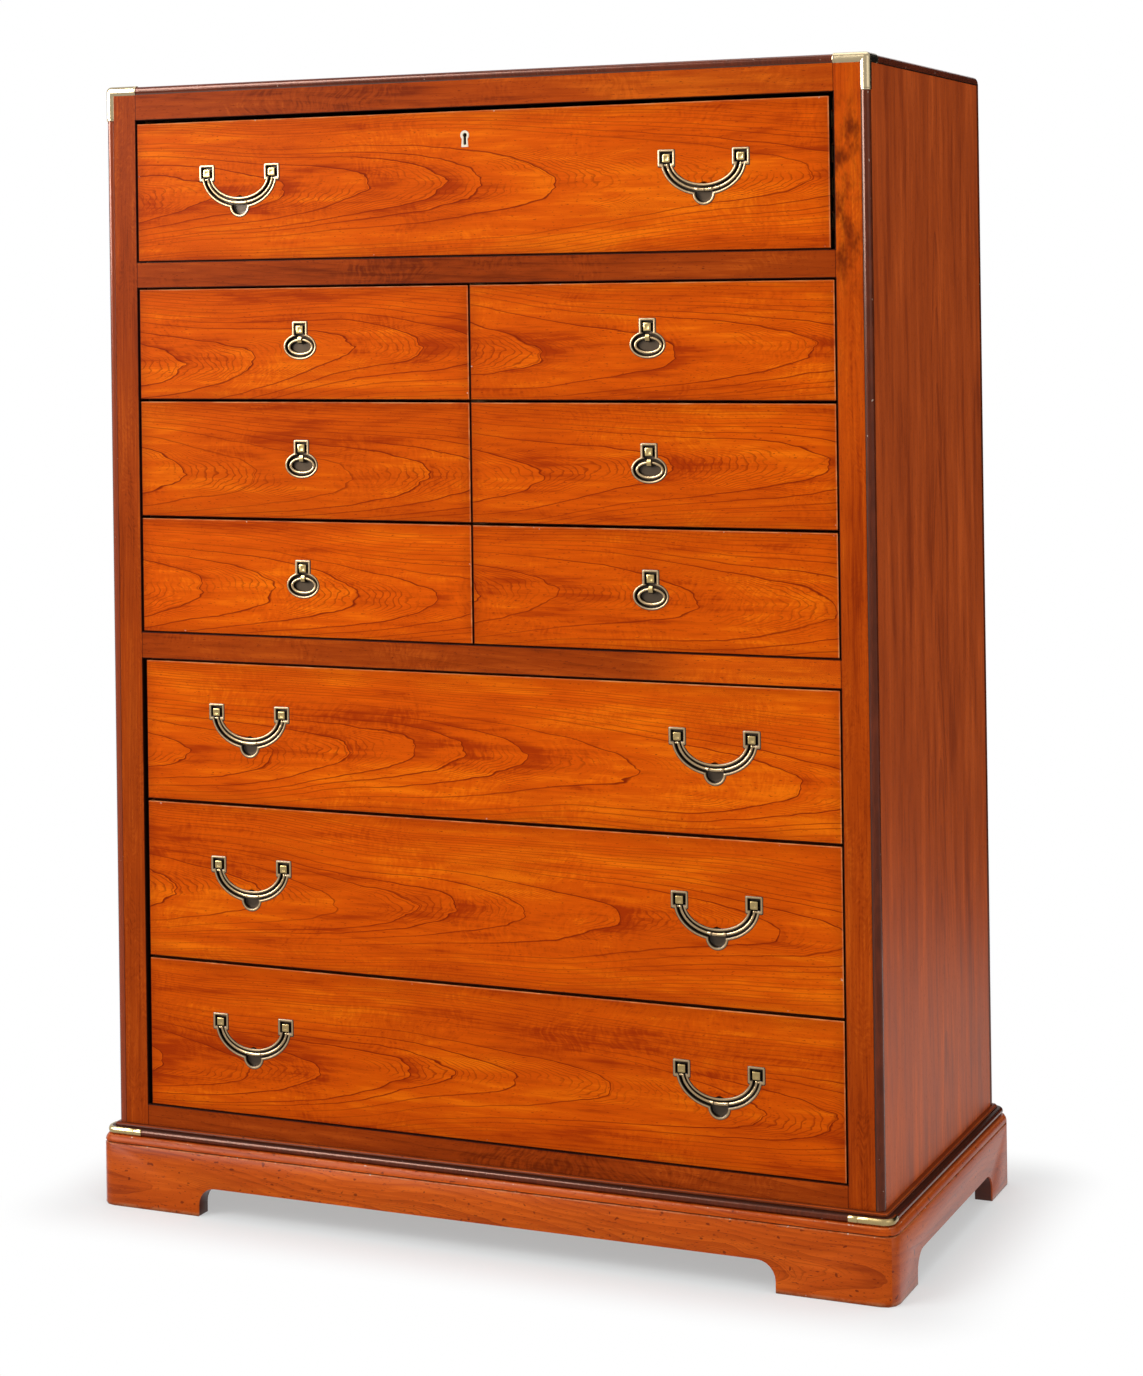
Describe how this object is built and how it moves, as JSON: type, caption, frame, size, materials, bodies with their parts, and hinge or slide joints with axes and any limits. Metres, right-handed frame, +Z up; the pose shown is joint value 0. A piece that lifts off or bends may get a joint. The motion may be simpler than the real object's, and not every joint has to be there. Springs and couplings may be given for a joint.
{
  "type": "campaign chest of drawers",
  "caption": "Tall campaign chest: long and small drawers with recessed brass bails and rings, dark edge beads, brass corners, moulded bracket plinth.",
  "frame": {"origin": "middle of the base on the floor", "axes": "+X to the right seen from the front, the drawer fronts face -Y, +Z up"},
  "size_m": [1.0086, 0.4836, 1.3633],
  "materials": {
    "cherry": "polished cherry with cathedral grain, worn edges",
    "dark_cherry": "polished darker cherry, straight grain",
    "ebonised": "glossy dark stained bead",
    "drawer_lining": "plain waxed softwood",
    "brass": "antiqued brass, dark in the recesses",
    "bone": "polished bone inlay",
    "iron": "oiled iron"
  },
  "bodies": {
    "case": {"plinth": "cherry", "base_moulding": "cherry", "base_bead": "ebonised", "base_corner_left": "brass", "base_corner_right": "brass", "side_left": "dark_cherry", "side_right": "dark_cherry", "top_panel": "dark_cherry", "bottom_panel": "drawer_lining", "back_panel": "drawer_lining", "face_frame": "cherry", "small_drawer_divider": "drawer_lining", "edge_bead": "ebonised", "top_corner_left": "brass", "top_corner_right": "brass"},
    "long_drawer_bottom": {"long_drawer_bottom_front": "cherry", "long_drawer_bottom_box": "drawer_lining", "long_drawer_bottom_bail_plate_left": "brass", "long_drawer_bottom_bail_plate_right": "brass"},
    "long_drawer_bottom_bail_left": {"long_drawer_bottom_bail_left": "brass"},
    "long_drawer_bottom_bail_right": {"long_drawer_bottom_bail_right": "brass"},
    "long_drawer_middle": {"long_drawer_middle_front": "cherry", "long_drawer_middle_box": "drawer_lining", "long_drawer_middle_bail_plate_left": "brass", "long_drawer_middle_bail_plate_right": "brass"},
    "long_drawer_middle_bail_left": {"long_drawer_middle_bail_left": "brass"},
    "long_drawer_middle_bail_right": {"long_drawer_middle_bail_right": "brass"},
    "long_drawer_upper": {"long_drawer_upper_front": "cherry", "long_drawer_upper_box": "drawer_lining", "long_drawer_upper_bail_plate_left": "brass", "long_drawer_upper_bail_plate_right": "brass"},
    "long_drawer_upper_bail_left": {"long_drawer_upper_bail_left": "brass"},
    "long_drawer_upper_bail_right": {"long_drawer_upper_bail_right": "brass"},
    "small_drawer_lower_left": {"small_drawer_lower_left": "cherry", "small_drawer_lower_left_ring_plate": "brass"},
    "small_drawer_lower_left_ring": {"small_drawer_lower_left_ring": "brass"},
    "small_drawer_lower_right": {"small_drawer_lower_right": "cherry", "small_drawer_lower_right_ring_plate": "brass"},
    "small_drawer_lower_right_ring": {"small_drawer_lower_right_ring": "brass"},
    "small_drawer_middle_left": {"small_drawer_middle_left": "cherry", "small_drawer_middle_left_ring_plate": "brass"},
    "small_drawer_middle_left_ring": {"small_drawer_middle_left_ring": "brass"},
    "small_drawer_middle_right": {"small_drawer_middle_right": "cherry", "small_drawer_middle_right_ring_plate": "brass"},
    "small_drawer_middle_right_ring": {"small_drawer_middle_right_ring": "brass"},
    "small_drawer_upper_left": {"small_drawer_upper_left": "cherry", "small_drawer_upper_left_ring_plate": "brass"},
    "small_drawer_upper_left_ring": {"small_drawer_upper_left_ring": "brass"},
    "small_drawer_upper_right": {"small_drawer_upper_right": "cherry", "small_drawer_upper_right_ring_plate": "brass"},
    "small_drawer_upper_right_ring": {"small_drawer_upper_right_ring": "brass"},
    "top_drawer": {"top_drawer_front": "cherry", "top_drawer_box": "drawer_lining", "top_drawer_bail_plate_left": "brass", "top_drawer_bail_plate_right": "brass", "keyhole_escutcheon": "bone", "lock_case": "iron"},
    "top_drawer_bail_left": {"top_drawer_bail_left": "brass"},
    "top_drawer_bail_right": {"top_drawer_bail_right": "brass"},
    "lock_bolt": {"lock_bolt": "brass"}
  },
  "joints": [
    {"name": "long_drawer_bottom_slide", "type": "slide", "parent": "case", "child": "long_drawer_bottom", "axis": [0, -1, 0], "range_m": [0, 0.3]},
    {"name": "long_drawer_bottom_bail_left_hinge", "type": "hinge", "parent": "long_drawer_bottom", "child": "long_drawer_bottom_bail_left", "pos_m": [-0.2985, -0.2212, 0.22465], "axis": [-1, 0, 0], "range_deg": [0, 90]},
    {"name": "long_drawer_bottom_bail_right_hinge", "type": "hinge", "parent": "long_drawer_bottom", "child": "long_drawer_bottom_bail_right", "pos_m": [0.2965, -0.2212, 0.22465], "axis": [-1, 0, 0], "range_deg": [0, 90]},
    {"name": "long_drawer_middle_slide", "type": "slide", "parent": "case", "child": "long_drawer_middle", "axis": [0, -1, 0], "range_m": [0, 0.3]},
    {"name": "long_drawer_middle_bail_left_hinge", "type": "hinge", "parent": "long_drawer_middle", "child": "long_drawer_middle_bail_left", "pos_m": [-0.2985, -0.2212, 0.41365], "axis": [-1, 0, 0], "range_deg": [0, 90]},
    {"name": "long_drawer_middle_bail_right_hinge", "type": "hinge", "parent": "long_drawer_middle", "child": "long_drawer_middle_bail_right", "pos_m": [0.2965, -0.2212, 0.41365], "axis": [-1, 0, 0], "range_deg": [0, 90]},
    {"name": "long_drawer_upper_slide", "type": "slide", "parent": "case", "child": "long_drawer_upper", "axis": [0, -1, 0], "range_m": [0, 0.3]},
    {"name": "long_drawer_upper_bail_left_hinge", "type": "hinge", "parent": "long_drawer_upper", "child": "long_drawer_upper_bail_left", "pos_m": [-0.2985, -0.2212, 0.59715], "axis": [-1, 0, 0], "range_deg": [0, 90]},
    {"name": "long_drawer_upper_bail_right_hinge", "type": "hinge", "parent": "long_drawer_upper", "child": "long_drawer_upper_bail_right", "pos_m": [0.2965, -0.2212, 0.59715], "axis": [-1, 0, 0], "range_deg": [0, 90]},
    {"name": "small_drawer_lower_left_slide", "type": "slide", "parent": "case", "child": "small_drawer_lower_left", "axis": [0, -1, 0], "range_m": [0, 0.3]},
    {"name": "small_drawer_lower_left_ring_hinge", "type": "hinge", "parent": "small_drawer_lower_left", "child": "small_drawer_lower_left_ring", "pos_m": [-0.22255, -0.2212, 0.76865], "axis": [-1, 0, 0], "range_deg": [0, 90]},
    {"name": "small_drawer_lower_right_slide", "type": "slide", "parent": "case", "child": "small_drawer_lower_right", "axis": [0, -1, 0], "range_m": [0, 0.3]},
    {"name": "small_drawer_lower_right_ring_hinge", "type": "hinge", "parent": "small_drawer_lower_right", "child": "small_drawer_lower_right_ring", "pos_m": [0.22255, -0.2212, 0.76865], "axis": [-1, 0, 0], "range_deg": [0, 90]},
    {"name": "small_drawer_middle_left_slide", "type": "slide", "parent": "case", "child": "small_drawer_middle_left", "axis": [0, -1, 0], "range_m": [0, 0.3]},
    {"name": "small_drawer_middle_left_ring_hinge", "type": "hinge", "parent": "small_drawer_middle_left", "child": "small_drawer_middle_left_ring", "pos_m": [-0.22255, -0.2212, 0.9114], "axis": [-1, 0, 0], "range_deg": [0, 90]},
    {"name": "small_drawer_middle_right_slide", "type": "slide", "parent": "case", "child": "small_drawer_middle_right", "axis": [0, -1, 0], "range_m": [0, 0.3]},
    {"name": "small_drawer_middle_right_ring_hinge", "type": "hinge", "parent": "small_drawer_middle_right", "child": "small_drawer_middle_right_ring", "pos_m": [0.22255, -0.2212, 0.9114], "axis": [-1, 0, 0], "range_deg": [0, 90]},
    {"name": "small_drawer_upper_left_slide", "type": "slide", "parent": "case", "child": "small_drawer_upper_left", "axis": [0, -1, 0], "range_m": [0, 0.3]},
    {"name": "small_drawer_upper_left_ring_hinge", "type": "hinge", "parent": "small_drawer_upper_left", "child": "small_drawer_upper_left_ring", "pos_m": [-0.22255, -0.2212, 1.0524], "axis": [-1, 0, 0], "range_deg": [0, 90]},
    {"name": "small_drawer_upper_right_slide", "type": "slide", "parent": "case", "child": "small_drawer_upper_right", "axis": [0, -1, 0], "range_m": [0, 0.3]},
    {"name": "small_drawer_upper_right_ring_hinge", "type": "hinge", "parent": "small_drawer_upper_right", "child": "small_drawer_upper_right_ring", "pos_m": [0.22255, -0.2212, 1.0524], "axis": [-1, 0, 0], "range_deg": [0, 90]},
    {"name": "top_drawer_slide", "type": "slide", "parent": "case", "child": "top_drawer", "axis": [0, -1, 0], "range_m": [0, 0.3]},
    {"name": "top_drawer_bail_left_hinge", "type": "hinge", "parent": "top_drawer", "child": "top_drawer_bail_left", "pos_m": [-0.3022, -0.2212, 1.24578], "axis": [-1, 0, 0], "range_deg": [0, 90]},
    {"name": "top_drawer_bail_right_hinge", "type": "hinge", "parent": "top_drawer", "child": "top_drawer_bail_right", "pos_m": [0.2928, -0.2212, 1.24578], "axis": [-1, 0, 0], "range_deg": [0, 90]},
    {"name": "lock_bolt_slide", "type": "slide", "parent": "top_drawer", "child": "lock_bolt", "axis": [0, 0, 1], "range_m": [0, 0.012]}
  ]
}
